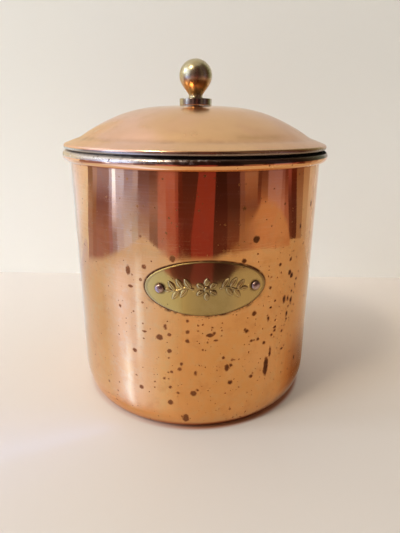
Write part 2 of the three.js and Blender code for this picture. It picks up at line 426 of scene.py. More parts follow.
def canister_copper():
    g = Graph("canister_copper")
    along, height = g.along_and_height()
    x = g.split(g.mm)[0]
    reach = g.reach()
    outside = g.step(reach, WALL_R - 0.7, WALL_R - 0.2)
    high = g.step(height, 70, 100, 0.25, 1)
    smudge = g.noise(30, 4)
    cloud = g.noise(9, 5, roughness=0.65)
    mottle = g.noise(5, 6, roughness=0.7)
    grain = g.noise(2.2, 4)
    # Fine polishing lines run round the wall, and fainter ones down it.
    lines = g.noise(1, 3, at=g.join(g.times(along, 0.05), 0, g.times(height, 2.6)))
    scratches = g.noise(1, 2, at=g.join(g.times(along, 1.5), 7, g.times(height, 0.06)))
    # Spots crowd low on the right of the plate, and are rare elsewhere.
    right = g.times(g.step(along, -30, 35), g.step(along, 110, 75))
    crowd = g.scaled(g.times(right, g.step(height, 118, 60)), 0.55, 0.2)
    specks = g.most(round_spots(g, 5, 1, crowd, 11), round_spots(g, 2.4, 0.7, crowd, 47))
    specks = g.most(specks, round_spots(g, 1.5, 0.45, g.times(crowd, 0.8), 81))
    depth = placed_spots(g, along, height)
    halo = g.most(g.times(specks, 0.8), g.step(depth, -0.65, 0.15))
    core = g.times(g.step(depth, -0.15, 0.5), g.step(grain, 0.25, 0.55, 0.45, 0.95))
    spot = g.mix(g.step(x, -20, 36), SPOT, (0.075, 0.022, 0.005))
    # The copper is painted browner low down on the right, partly tarnish and partly a painted reflection
    # of the caddy's shadow; painted shade lies where the wall meets the rolled rim.
    brown_and_shade = g.times(g.step(x, 34, 66), g.step(height, 55, 12, 0, 0.6))
    shade_under_rim = g.times(
        g.step(height, BEAD_CENTRE_Z - 4, BEAD_CENTRE_Z - 2.7, 0, 0.6),
        g.step(height, BEAD_CENTRE_Z - 2, BEAD_CENTRE_Z - 2.5)
    )
    brown_and_shade = g.times(g.most(brown_and_shade, shade_under_rim), g.step(mottle, 0.3, 0.6, 0.6, 1))
    # Dirt and painted shade lie along the plate's edge and under it, and painted shade lies in a line
    # round the foot, strongest on the right.
    off_plate = around_plate(g, along, height)
    dirt_and_shade = g.times(g.step(off_plate, 0.9, 0.4), g.step(grain, 0.25, 0.5, 0.5, 1))
    below = g.times(g.step(off_plate, 2, 0.7), g.step(height, PLATE_Z - 3, PLATE_Z - 11))
    dirt_and_shade = g.most(dirt_and_shade, g.times(below, g.step(mottle, 0.42, 0.62)))
    dirt_and_shade = g.most(dirt_and_shade, g.times(g.step(height, 4.6, 1), g.step(x, -45, 15, 0.05, 0.95)))
    # The tin over the rim is worn and stained, most of all on the right.
    tin = g.step(g.scaled(grain, 0.25, g.attribute("tin")), 0.55, 0.72)
    worn = g.scaled(g.step(x, -50, 25), -0.3, g.noise(3.5, 5, roughness=0.7))
    stain = g.times(g.step(worn, 0.46, 0.3), outside)
    tin_colour = g.mix(g.noise(5, 5), RIM_TIN, (0.6, 0.5, 0.43))
    tin_colour = g.mix(g.times(stain, 0.92), tin_colour, (0.11, 0.052, 0.027))
    # Painted shade in the gap under the lid, fainter on the left.
    crevice_shade = g.times(g.attribute("crevice_shade"), g.step(x, -68, -15, 0.1, 1))
    colour = g.layers(
        COPPER,
        (g.step(smudge, 0.35, 0.7), (0.75, 0.345, 0.105)),
        (g.step(mottle, 0.46, 0.64, 0, 0.55), (0.72, 0.4, 0.155)),
        (g.step(cloud, 0.5, 0.72, 0, 0.5), (0.64, 0.27, 0.085)),
        (g.times(g.step(lines, 0.52, 0.7, 0, 0.35), high), (0.86, 0.5, 0.26)),
        (g.step(scratches, 0.56, 0.7, 0, 0.25), (0.7, 0.32, 0.12)),
        (g.step(reach, WALL_R + 0.2, WALL_R + 0.8), (0.86, 0.42, 0.165)),
        (brown_and_shade, (0.42, 0.15, 0.045)),
        (dirt_and_shade, (0.09, 0.03, 0.012)),
        (halo, (0.3, 0.1, 0.028)),
        (core, spot),
        (tin, tin_colour),
        (crevice_shade, CREVICE_SHADE),
    )
    # Finger marks dull the polish in patches, most of all high up on the left.
    touched = g.times(g.step(x, 10, -42, 0.35, 1), g.step(height, 60, 95, 0.3, 1))
    touched = g.times(touched, g.step(g.noise(16, 5, roughness=0.65), 0.45, 0.68))
    # The tin lining has gone dull and grey, and has none of the copper's spots.
    lining = g.times(tin, g.less(1, outside))
    core = g.times(core, g.less(1, lining))
    rough = g.scaled(g.times(g.step(lines, 0.45, 0.75), high), 0.05, g.scaled(touched, 0.13, 0.035))
    rough = g.blend(tin, rough, g.scaled(cloud, 0.2, 0.14))
    rough = g.blend(halo, rough, 0.5)
    rough = g.blend(crevice_shade, rough, 0.8)
    rough = g.blend(lining, rough, g.scaled(cloud, 0.3, 0.3))
    dull = g.most(g.times(g.most(core, crevice_shade), 0.8), g.times(lining, 0.45))
    normal = g.bump(g.times(lines, high), 0.4, 0.004)
    normal = g.bump(g.less(1, core), 0.3, 0.03, normal)
    return g.finish(colour, rough, g.less(1, dull), normal, specular=0.05)


def lid_copper():
    g = Graph("lid_copper")
    x, y, z = g.split(g.mm)
    reach = g.reach()
    smudge = g.noise(26, 4)
    cloud = g.noise(8, 5, roughness=0.6)
    rings = g.noise(1, 2, at=g.join(g.times(reach, 1.1), 0, 0))
    spots = g.most(round_spots(g, 9, 0.8, 0.08, 5), round_spots(g, 4, 0.4, 0.08, 23))
    # The middle is golden; the left is painted pink and pale as a painted reflection of the window, and
    # the right painted a little browner as painted shade.
    across = g.scaled(g.less(smudge, 0.5), 60, x)
    # The copper is darker along the crease below the dome.
    crease = g.step(g.math("ABSOLUTE", g.less(reach, CREASE[0] - 2)), 3, 0.2, 0, 0.4)
    crease = g.times(crease, g.step(cloud, 0.35, 0.6, 0.3, 1))
    # In front of the knob's disc the copper is painted red, a painted reflection of the disc's side.
    red = g.times(g.step(reach, 13.4, 12), g.step(y, -3, -8))
    # The rolled edge is tinned, and stained brown at the front, most of all at the middle and right.
    tin = g.step(g.scaled(g.noise(3), 0.2, g.attribute("tin")), 0.55, 0.65)
    front = g.times(g.step(reach, 69, 71), g.step(y, 10, -10))
    stain = g.times(g.step(x, -60, -10, 0.1, 0.85), g.step(z, CREASE[1], CURL_CENTRE_Z - 2))
    stain = g.times(stain, front)
    tin_colour = g.mix(g.noise(5, 5), (0.64, 0.53, 0.36), (0.46, 0.38, 0.27))
    tin_colour = g.mix(stain, tin_colour, (0.21, 0.115, 0.075))
    # Painted shade under the rolled edge where it sits on the rim, fainter on the left.
    crevice_shade = g.times(g.attribute("crevice_shade"), g.step(x, -60, -15, 0.1, 1))
    colour = g.layers(
        (0.8, 0.49, 0.255),
        (g.step(across, -8, -46), (0.9, 0.56, 0.42)),
        (g.step(across, 12, 48), (0.68, 0.375, 0.2)),
        (g.step(cloud, 0.5, 0.75, 0, 0.4), (0.68, 0.4, 0.2)),
        (g.step(smudge, 0.52, 0.66, 0, 0.35), (0.8, 0.46, 0.31)),
        (crease, (0.5, 0.25, 0.12)),
        (g.times(red, 0.9), (0.84, 0.3, 0.125)),
        (spots, (0.16, 0.07, 0.03)),
        (tin, tin_colour),
        (crevice_shade, CREVICE_SHADE),
    )
    rough = g.scaled(g.step(cloud, 0.3, 0.8), 0.07, g.step(reach, 14, 40, 0.05, 0.2))
    rough = g.scaled(rings, 0.03, rough)
    rough = g.blend(tin, rough, g.scaled(cloud, 0.2, 0.16))
    rough = g.blend(spots, rough, 0.6)
    rough = g.blend(crevice_shade, rough, 0.7)
    metallic = g.less(1, g.most(g.times(spots, 0.7), g.times(red, 0.75)))
    normal = g.bump(rings, 0.02, 0.01)
    return g.finish(colour, rough, metallic, normal, coat=0.06, coat_roughness=0.35, specular=0.05)


def worn_metal(name, light, dark, roughness, patch, coat=0, spots=0, lid_reflection_below=None):
    """A metal whose colour and gloss vary in patches, with a few small dark spots.

    It can be painted redder for a short way below a height, a painted reflection of the copper lid on a
    knob's lower part.
    """
    g = Graph(name)
    cloud = g.noise(patch, 5, roughness=0.6)
    fine = g.noise(patch / 8, 3)
    colour = g.mix(g.step(cloud, 0.35, 0.75), light, dark)
    rough = g.scaled(fine, 0.05, g.scaled(cloud, 0.12, roughness))
    # A painted reflection of the copper lid warms the knob's lower part.
    if lid_reflection_below:
        below = g.less(lid_reflection_below, g.split(g.mm)[2])
        warm = g.times(g.step(below, 0, 3.5), g.step(below, 11.5, 8.5))
        colour = g.mix(g.times(warm, 0.85), colour, (0.56, 0.29, 0.1))
    if spots:
        marks = round_spots(g, 2.5, 0.5, spots, 3)
        colour = g.mix(marks, colour, SPOT)
        rough = g.blend(marks, rough, 0.6)
    return g.finish(colour, rough, 1, g.bump(fine, 0.08, 0.02), coat=coat, coat_roughness=0.2)


# ---- canister ----
def canister_outline():
    corner_r = WALL_R - CORNER_IN
    wall_inner = WALL_R - SHEET
    roll = BEAD_R - SHEET
    inner_roll = BEAD_CENTRE_R - wall_inner
    runs = [
        line((0, 0), (corner_r, 0), 12),
        arc(corner_r, CORNER_UP, CORNER_IN, CORNER_UP, -90, 0, 24),
        line((WALL_R, CORNER_UP), (WALL_R, BEAD_CENTRE_Z), 40),
        arc(*BEAD, BEAD_CENTRE_R - WALL_R, roll, 180, 90, 6),
        arc(*BEAD, roll, roll, 90, BEAD_END, 20),
        arc(*BEAD, BEAD_R, BEAD_R, BEAD_END, 90, 32),
        arc(*BEAD, inner_roll, BEAD_R, 90, 180, 10),
        line((wall_inner, BEAD_CENTRE_Z), (wall_inner, CORNER_UP), 30),
        arc(corner_r, CORNER_UP, CORNER_IN - SHEET, CORNER_UP - SHEET, 0, -90, 16),
        line((corner_r, SHEET), (0, SHEET), 12),
    ]
    return joined(*runs)


def canister():
    points = canister_outline()
    widest = max(range(len(points)), key=lambda index: points[index][0])

    def shift(r, z, angle):
        """Slow waves of a tenth of a millimetre in the wall, none at the rim or the base."""
        amount = smooth(4, 30, z) * (1 - smooth(BEAD_CENTRE_Z - 14, BEAD_CENTRE_Z - 5, z))
        if r < WALL_R - CORNER_IN or not amount:
            return 0, 0
        slow = noise.noise(round_z(angle, 2.2, z * 0.018))
        finer = noise.noise(round_z(angle, 5.5, z * 0.05 + 7))
        return amount * (0.12 * slow + 0.03 * finer), 0

    def tin(index):
        """The tin covers the inside and rolls over the rim, down to its widest line."""
        r, z = points[index]
        if r > WALL_R:
            return smooth(BEAD_CENTRE_Z - 0.5, BEAD_CENTRE_Z + 0.9, z)
        return float(index > widest)

    def crevice_shade(index):
        """Painted shade on top of the rim, where the lid sits."""
        r, z = points[index]
        return float(r > WALL_R) * smooth(BEAD_CENTRE_Z + 0.62 * BEAD_R, BEAD_CENTRE_Z + 0.8 * BEAD_R, z)

    masks = {"tin": tin, "crevice_shade": crevice_shade}
    piece = turned("canister_shell", points, AROUND, canister_copper(), shift=shift, masks=masks)
    ready(piece, "canister", "canister_copper", "canister_body")


# ---- name plate, with a raised sprig where a label would be ----
def leaf(x, z, at, angle, length, width, height):
    """Height over the plate of a pointed leaf that grows from a point at an angle."""
    cosine, sine = math.cos(math.radians(angle)), math.sin(math.radians(angle))
    along = ((x - at[0]) * cosine + (z - at[1]) * sine) / length
    across = (-(x - at[0]) * sine + (z - at[1]) * cosine) / (width / 2)
    half = np.sin(np.pi * np.clip(along, 0, 1)) ** 0.8
    inside = np.clip(1 - (across / np.maximum(half, 1e-3)) ** 2, 0, 1) * (along > 0) * (along < 1)
    vein = 0.35 * np.exp(-(across / 0.16) ** 2) * (along < 0.85)
    return height * np.sqrt(inside) * (1 - vein)


def ridge(distance, width, height):
    return height * np.sqrt(np.clip(1 - (distance / width) ** 2, 0, 1))


def ornament(x, z):
    """A rosette between two leafy stems."""
    raised = ridge(np.hypot(x, z), 1.4, 0.6)
    for k in range(6):
        angle = 60 * k + 30
        start = round_z(math.radians(angle), 1.7, 0)
        raised = np.maximum(raised, leaf(x, z, start, angle, 3.7, 2.7, 0.55))
    side = np.abs(x)
    stem = 0.8 * np.sin((side - 6.2) * 0.52)
    on_stem = (side > 6.2) & (side < 17.2)
    raised = np.maximum(raised, ridge(z - stem, 0.42, 0.42) * on_stem)
    for start, up in ((7.4, 1), (9.2, -1), (11.2, 1), (13, -1), (14.8, 1)):
        root = (start, 0.8 * math.sin((start - 6.2) * 0.52))
        raised = np.maximum(raised, leaf(side, z, root, 56 * up, 5.6, 2.5, 0.55))
    return np.maximum(raised, leaf(side, z, (16.6, -0.4), -4, 3.4, 2.3, 0.5))


def name_plate():
    across, up = 300, 140
    u, v = np.meshgrid(np.linspace(-1, 1, across), np.linspace(-1, 1, up))
    disc_x = u * np.sqrt(1 - v * v / 2)
    disc_z = v * np.sqrt(1 - u * u / 2)
    x, z = disc_x * PLATE_HALF_LENGTH, disc_z * PLATE_HALF_HEIGHT
    rim = np.clip(np.hypot(disc_x, disc_z), 0, 1)
    # The plate leans back between its rivets only.
    off = np.clip((np.abs(x + 2) - 9) / 9, 0, 1)
    lean = PLATE_LEAN * (1 - off * off * (3 - 2 * off))
    height = ornament(x, z) - PLATE_CROWN * (z / PLATE_HALF_HEIGHT) ** 2 - lean * z - PLATE_SINK
    edge = (1 - rim) * PLATE_HALF_HEIGHT
    height -= 0.3 * np.clip(1 - edge / 0.45, 0, 1) ** 2
    for along in RIVETS.values():
        height -= 0.15 * np.exp(-(((x - along * 0.985) / 3.4) ** 2 + (z / 3.4) ** 2))
    radius = PLATE_FRONT_R + height - 0.02
    angle = np.arcsin(x / PLATE_FRONT_R)
    front = np.stack([radius * np.sin(angle), -radius * np.cos(angle), z + PLATE_Z], axis=-1)
    back = np.stack([PLATE_BACK_R * np.sin(angle), -PLATE_BACK_R * np.cos(angle), z + PLATE_Z], axis=-1)
    vertices = [tuple(p) for p in front.reshape(-1, 3)]
    border = (
        [(0, c) for c in range(across)] + [(r, across - 1) for r in range(1, up)]
        + [(up - 1, c) for c in range(across - 2, -1, -1)] + [(r, 0) for r in range(up - 2, 0, -1)]
    )
    first_back = len(vertices)
    vertices += [tuple(back[r, c]) for r, c in border]
    middle = len(vertices)
    vertices.append((0, -PLATE_BACK_R, PLATE_Z))
    starts = [r * across + c for r in range(up - 1) for c in range(across - 1)]
    faces = [(a, a + 1, a + across + 1, a + across) for a in starts]
    for k, (r, c) in enumerate(border):
        after = (k + 1) % len(border)
        r2, c2 = border[after]
        low, low2 = first_back + k, first_back + after
        faces += [(r2 * across + c2, r * across + c, low, low2), (low2, low, middle)]
    piece = new_piece("name_plate_embossed", vertices, faces, plate_brass())
    relief = ornament(x, z)
    for name, found in (("hollow", blurred(relief) - relief), ("proud", relief - blurred(relief))):
        near = np.zeros(len(vertices))
        near[:first_back] = np.clip(found, 0, 1).reshape(-1) * 4
        add_mask(piece, name, near)
    ready(piece, "canister", "plate_brass", "name_plate")


def blurred(grid, times=6):
    """The grid with each value spread over its neighbours."""
    for _ in range(times):
        padded = np.pad(grid, 1, mode="edge")
        grid = (padded[:-2, 1:-1] + padded[2:, 1:-1] + padded[1:-1, :-2] + padded[1:-1, 2:] + grid) / 5
    return grid


def plate_brass():
    g = Graph("plate_brass")
    along, height = g.along_and_height()
    cloud = g.noise(9, 5, roughness=0.6)
    # Darker in the hollows of the relief and in a ring round each rivet.
    dark_hollows_and_rings = g.step(g.attribute("hollow"), 0.05, 0.5, 0, 0.75)
    for place in RIVETS.values():
        away = g.vector("DISTANCE", g.join(along, height, 0), (place, PLATE_Z, 0))
        dark_hollows_and_rings = g.most(dark_hollows_and_rings, g.step(g.scaled(cloud, 1.6, away), 4.4, 3, 0, 0.8))
    edge = g.step(around_plate(g, along, height), -0.8, -0.4)
    proud = g.attribute("proud")
    colour = g.layers(
        (0.44, 0.31, 0.12),
        (g.step(cloud, 0.35, 0.7), (0.36, 0.245, 0.08)),
        # The plate is painted paler to the left and right of its middle, a painted reflection of the
        # lighter room there.
        (g.step(along, 0, -18), (0.585, 0.4, 0.123)),
        (g.step(along, 9, 18), (0.53, 0.345, 0.118)),
        (g.times(edge, 0.4), (0.24, 0.16, 0.05)),
        (g.step(proud, 0.15, 0.5, 0, 0.7), (0.7, 0.54, 0.26)),  # rubbed bright
        (dark_hollows_and_rings, (0.12, 0.07, 0.025)),
        (round_spots(g, 3, 0.5, 0.25, 9), (0.1, 0.06, 0.02)),
    )
    rough = g.blend(g.step(proud, 0.02, 0.2), g.scaled(cloud, 0.08, 0.06), 0.45)
    rough = g.blend(edge, rough, 0.4)
    rough = g.blend(dark_hollows_and_rings, rough, 0.45)
    normal = g.bump(g.noise(0.8, 3), 0.06, 0.02)
    return g.finish(colour, rough, 1, normal, coat=0.12, coat_roughness=0.3)


# ---- rivets ----
def rivets():
    metal = worn_metal("rivet_copper", (0.52, 0.36, 0.3), (0.3, 0.18, 0.14), 0.22, 1.6)
    for side, along in RIVETS.items():
        low, high = corners(f"plate_rivet_{side}")
        turn = math.asin(along / WALL_R)
        head_r = (high.z - low.z) / 2
        head_seat = PLATE_FRONT_R - 0.25
        head_edge = head_seat + 0.2
        head_top = PLATE_FRONT_R + 1.5
        tail_seat = WALL_R - SHEET
        points = joined(
            [(0, tail_seat - 1)],
            arc(0.9, tail_seat - 0.5, 0.8, 0.5, -90, 0, 6),
            [(1.7, tail_seat + 0.05), (1, tail_seat + 0.05), (1, head_seat), (head_r, head_seat)],
            arc(0, head_edge, head_r, head_top - head_edge, 0, 90, 14),
        )

        def shift(r, z, angle, seed=along):
            place = Vector((math.cos(angle) + seed, math.sin(angle), z * 0.9))
            return 0.1 * noise.noise(place) * min(r, 1), 0

        piece = turned(f"rivet_{side}", points, AROUND_RIVET, metal, shift=shift)
        outward = Matrix.Rotation(turn, 4, "Z") @ Matrix.Rotation(math.pi / 2, 4, "X")
        piece.data.transform(Matrix.Translation((0, 0, PLATE_Z * MM)) @ outward)
        ready(piece, "canister", "rivet_copper", f"plate_rivet_{side}")


# ---- lid ----
def lid():
    shoulder_r, shoulder_z = SHOULDER
    crease_r, crease_z = CREASE
    crown_end = (shoulder_r - 15.7, shoulder_z + 9.1)
    crown = cubic((CROWN_R, CROWN_Z), (31, CROWN_Z), crown_end, SHOULDER, 36)
    crease_start = (crease_r - 3.3, crease_z + 0.8)
    shoulder = cubic(SHOULDER, (shoulder_r + 3, shoulder_z - 1.7), crease_start, CREASE, 14)
    brim_end = arc(*CURL, CURL_R, CURL_R, CURL_FROM, 0, 1)[0]
    brim = line(CREASE, brim_end, 6)[:-1]
    top = joined(line((HOLE_R, CROWN_Z), (CROWN_R, CROWN_Z), 4), crown, shoulder, brim)
    under = offset_inward(top, SHEET)
    curl = arc(*CURL, CURL_R - SHEET, CURL_R - SHEET, CURL_FROM, CURL_TO, 20)
    curl_out = arc(*CURL, CURL_R, CURL_R, CURL_TO, CURL_FROM, 28)
    points = joined(under, curl, curl_out, list(reversed(top)))
    first_outer = len(under) + len(curl)

    def shift(r, z, angle):
        amount = smooth(16, 30, r) * (1 - smooth(66, 70, r))
        return 0, 0.1 * amount * noise.noise(round_z(angle, r * 0.035, 3))

    def tin(index):
        if index < first_outer:
            return 1
        return 1 - smooth(CURL_CENTRE_Z - 0.5, CURL_CENTRE_Z + 0.7, points[index][1])

    def crevice_shade(index):
        """Painted shade under the rolled edge, where it sits on the canister."""
        r, z = points[index]
        if index < first_outer or r < CURL_CENTRE_R - CURL_R:
            return 0
        return 1 - smooth(CURL_CENTRE_Z - 0.8 * CURL_R, CURL_CENTRE_Z - 0.5 * CURL_R, z)

    masks = {"tin": tin, "crevice_shade": crevice_shade}
    piece = turned("lid_dome_spun", points, AROUND, lid_copper(), closed=True, shift=shift, masks=masks)
    ready(piece, "lid", "lid_copper", "lid_dome")


def collar():
    outer = collar_high.x
    inner = outer - SHEET
    half = SHEET / 2
    top = collar_high.z
    fillet = 1.3  # the solder that joins the collar to the lid
    points = joined(
        [(inner, top), (inner, collar_low.z + half)],
        arc(inner + half, collar_low.z + half, half, half, 180, 360, 8),
        line((outer, collar_low.z + half), (outer, top - fillet), 6),
        [(outer + 0.15, top - 0.7), (outer + 0.5, top - 0.15), (outer + fillet, top - 0.05)],
        [(inner, top + 0.1)],
    )

    def shift(r, z, angle):
        return 0.1 * noise.noise(round_z(angle, 3, z * 0.02)), 0

    metal = worn_metal("tinned_copper", TIN, (0.42, 0.4, 0.38), 0.22, 14, spots=0.2)
    piece = turned("lid_collar_ring", points, AROUND, metal, closed=True, shift=shift)
    ready(piece, "lid", "tinned_copper", "lid_collar")


def flat_ring(name, slot, node, metal, around, edge, steps):
    """A flat ring round the screw, with its outer edges rounded."""
    low, high = corners(node)
    outer = high.x - edge
    points = joined(
        [(HOLE_R, low.z)],
        arc(outer, low.z + edge, edge, edge, -90, 0, steps),
        arc(outer, high.z - edge, edge, edge, 0, 90, steps),
        [(HOLE_R, high.z)],
    )
    piece = turned(name, points, around, metal, closed=True)
    ready(piece, "lid", slot, node)


def knob():
    wide_r = knob_high.x
    wide_z = knob_high.z - 8.6
    neck_r, neck_z = 3.7, knob_low.z + 0.9
    foot_r = 4
    edge = 0.2
    foot_z = knob_low.z + edge
    neck = (neck_r, neck_z)
    outline = joined(
        [(0, knob_low.z)],
        arc(foot_r - edge, foot_z, edge, edge, -90, 0, 4),
        cubic((foot_r, foot_z), (foot_r, knob_low.z + 0.6), (neck_r, neck_z - 0.3), neck, 5),
        cubic(neck, (neck_r + 0.3, neck_z + 2.4), (wide_r, wide_z - 5), (wide_r, wide_z), 28),
        arc(0, wide_z, wide_r, knob_high.z - wide_z, 0, 90, 24),
    )
    dark = (0.44, 0.36, 0.2)
    metal = worn_metal("knob_brass", BRASS, dark, 0.2, 5, coat=0.05, spots=0.2, lid_reflection_below=wide_z)
    piece = turned("knob_ball", outline, AROUND_KNOB, metal)
    ready(piece, "lid", "knob_brass", "knob")


def screw():
    head_r = screw_high.x
    seat = screw_low.z + 2.6
    low = screw_low.z
    points = joined(
        [(0, low)],
        cubic((0, low), (head_r * 0.6, low), (head_r, low + 0.6), (head_r, seat - 0.4), 12),
        [(head_r, seat), (SHANK_R, seat)],
        line((SHANK_R, seat), (SHANK_R, screw_high.z), 8),
        [(0, screw_high.z)],
    )
    metal = worn_metal("screw_brass", (0.62, 0.5, 0.28), (0.45, 0.34, 0.17), 0.22, 2)
    piece = turned("lid_screw", points, AROUND_SCREW, metal)
    bpy.ops.mesh.primitive_cube_add(location=(0, 0, low * MM))
    cutter = bpy.context.object
    cutter.scale = (2 * head_r * MM, 0.5 * MM, 1.3 * MM)
    slot = piece.modifiers.new("slot", "BOOLEAN")
    slot.operation = "DIFFERENCE"
    slot.object = cutter
    slot.solver = "EXACT"
    mesh = bpy.data.meshes.new_from_object(piece.evaluated_get(bpy.context.evaluated_depsgraph_get()))
    piece.modifiers.clear()
    piece.data = mesh
    bpy.data.objects.remove(cutter)
    ready(piece, "lid", "screw_brass", "knob_screw")


def knob_parts():
    metal = worn_metal("disc_brass", (0.58, 0.52, 0.4), (0.42, 0.36, 0.26), 0.07, 3)
    flat_ring("knob_disc", "disc_brass", "knob_base_disc", metal, AROUND_KNOB, 0.25, 5)
    knob()
    screw()
    metal = worn_metal("washer_steel", (0.58, 0.58, 0.57), (0.4, 0.39, 0.37), 0.25, 3)
    flat_ring("lid_washer", "washer_steel", "screw_washer", metal, AROUND_SCREW, 0.2, 4)


def wire():
    """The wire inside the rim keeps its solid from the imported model, and only gets a metal."""
    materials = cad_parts["rim_wire"].data.materials
    materials.clear()
    materials.append(worn_metal("steel_wire", (0.45, 0.45, 0.46), (0.3, 0.27, 0.25), 0.35, 6))


canister()
name_plate()
rivets()
lid()
collar()
knob_parts()
wire()


# ---- stage: floor, wall, and the room that the copper mirrors ----
VIEW_YAW = math.radians(-5.2)  # the camera stands a little to the left of the plate
VIEW_PITCH = math.radians(18.76)
VIEW_ROLL = math.radians(0.46)
CAMERA_M = Vector((-0.0202, -0.2569, 0.1564))
WALL_BEHIND_M = 0.175
WALL_YAW = math.radians(-6.3)


def stage_mesh(name, vertices, faces, material):
    piece = mesh_object(name, vertices, faces, material)
    return piece


def floor_and_wall():
    wide = 6
    drop = -0.0001
    # A dark red-brown ring is painted on the table close to the foot: painted contact shade and painted
    # warm light thrown back by the copper.
    g = Graph("pale_floor")
    warm = g.times(g.step(g.reach(), 69.4, 66.3), g.step(g.split(g.mm)[0], -45, 5, 0.25, 1))
    table = g.finish(g.mix(warm, (0.68, 0.62, 0.57), (0.44, 0.16, 0.075)), 0.5, 0, specular=0.3)
    square = [(-wide, -wide, drop), (wide, -wide, drop), (wide, wide, drop), (-wide, wide, drop)]
    stage_mesh("floor", square, [(0, 1, 2, 3)], table)
    # The wall is clear from behind, so that it hides nothing in other views.
    g = Graph("pale_wall")
    pale = g.principled((0.78, 0.77, 0.735), 0.7, 0, specular=0.3)
    behind = g.node("ShaderNodeNewGeometry").outputs["Backfacing"]
    paint = g.cover(behind, pale, g.node("ShaderNodeBsdfTransparent"))
    turn = Matrix.Rotation(WALL_YAW, 4, "Z")
    ends = [turn @ Vector((x, WALL_BEHIND_M, z)) for x, z in ((-3, drop), (3, drop), (3, 2.5), (-3, 2.5))]
    stage_mesh("wall", ends, [(0, 1, 2, 3)], paint)


# What stands round the front of the caddy, seen only in its reflection, as upright bands. For each band:
# where it ends low down and high up, in degrees to the right of the plate's middle, and its colour low
# down, half way and high up. A cool window is on the left; the rest is dark wood and red cloth.
ROOM_FROM = (-152, -152)
ROOM = [
    (-134, -134, (0.82, 0.86, 0.88), (0.81, 0.9, 0.95), (0.83, 0.93, 1.02)),
    (-112, -104, (0.88, 0.98, 1.08), (1, 1.17, 1.45), (0.99, 1.12, 1.35)),
    (-104, -97, (0.47, 0.38, 0.5), (0.46, 0.38, 0.44), (0.32, 0.26, 0.29)),
    (-98, -91, (0.4, 0.28, 0.37), (0.35, 0.24, 0.23), (0.52, 0.5, 0.85)),
    (-81, -77, (0.42, 0.3, 0.44), (0.26, 0.17, 0.3), (0.41, 0.41, 0.9)),
    (-77, -74, (0.43, 0.33, 0.65), (0.46, 0.48, 1.15), (0.7, 1, 2.7)),
    (-72, -70.5, (0.44, 0.45, 0.95), (1.1, 1.55, 3.9), (1.5, 2.6, 6.6)),
    (-65, -62, (0.62, 0.8, 1.95), (0.63, 0.84, 2.15), (0.71, 1.04, 2.8)),
    (-57, -54, (0.72, 0.98, 2.2), (0.52, 0.67, 1.65), (0.42, 0.48, 1.2)),
    (-51, -49.5, (0.64, 0.82, 1.5), (0.48, 0.58, 1.3), (0.54, 0.62, 1.35)),
    (-41, -40, (0.54, 0.54, 0.88), (0.35, 0.3, 0.62), (0.19, 0.13, 0.22)),
    (-34, -33, (0.3, 0.23, 0.33), (0.4, 0.32, 0.52), (0.17, 0.09, 0.11)),
    (-27, -27, (0.5, 0.32, 0.48), (0.56, 0.33, 0.5), (0.5, 0.24, 0.32)),
    (-20, -20, (0.47, 0.21, 0.26), (0.49, 0.21, 0.27), (0.52, 0.24, 0.33)),
    (-18, -17.5, (0.36, 0.12, 0.14), (0.38, 0.12, 0.16), (0.33, 0.13, 0.15)),
    (-14, -14.5, (0.2, 0.06, 0.07), (0.13, 0.04, 0.04), (0.14, 0.04, 0.04)),
    (-8, -2, (0.16, 0.045, 0.05), (0.13, 0.045, 0.05), (0.08, 0.03, 0.035)),
    (9.5, 11, (0.3, 0.07, 0.08), (0.3, 0.07, 0.075), (0.27, 0.06, 0.07)),
    (21, 19.5, (0.13, 0.05, 0.05), (0.07, 0.025, 0.03), (0.045, 0.017, 0.02)),
    (31, 30, (0.2, 0.09, 0.08), (0.09, 0.04, 0.045), (0.08, 0.03, 0.04)),
    (36, 34, (0.38, 0.24, 0.19), (0.22, 0.12, 0.14), (0.25, 0.14, 0.18)),
    (48, 45.5, (0.46, 0.31, 0.21), (0.24, 0.12, 0.12), (0.37, 0.22, 0.21)),
    (50, 49, (0.3, 0.14, 0.12), (0.26, 0.11, 0.1), (0.13, 0.055, 0.05)),
    (58, 55, (0.58, 0.39, 0.28), (0.48, 0.28, 0.24), (0.17, 0.08, 0.09)),
    (70, 69.5, (0.57, 0.38, 0.3), (0.55, 0.39, 0.55), (0.36, 0.24, 0.42)),
    (76, 72.5, (0.53, 0.33, 0.29), (0.5, 0.32, 0.42), (0.25, 0.13, 0.2)),
    (82, 76, (0.41, 0.24, 0.21), (0.39, 0.19, 0.2), (0.18, 0.06, 0.06)),
    (86, 80, (0.16, 0.07, 0.06), (0.13, 0.05, 0.05), (0.29, 0.1, 0.13)),
    (93, 87, (0.12, 0.05, 0.04), (0.1, 0.035, 0.035), (0.12, 0.03, 0.02)),
    (102, 98, (0.38, 0.27, 0.2), (0.35, 0.25, 0.2), (0.27, 0.15, 0.11)),
    (111, 109, (0.55, 0.48, 0.39), (0.54, 0.46, 0.37), (0.46, 0.35, 0.27)),
    (122, 121, (0.66, 0.61, 0.53), (0.67, 0.62, 0.54), (0.7, 0.66, 0.6)),
]
ROOM_R = 0.4
ROOM_LOW, ROOM_MIDDLE, ROOM_HIGH = 0.015, 0.055, 0.095
ROOM_PLAIN = 0.15  # above this height the room is greyer
ROOM_TOPS = [(-95, 0.28), (-46, 0.45), (-20, 0.7), (180, 1.1)]  # up to each direction, its height
ROOM_LIFT = 0.0008  # the cards lie just above the table, the room's the highest
CLOTH_LIFT = 0.0006
TABLE_LIFT = 0.0004
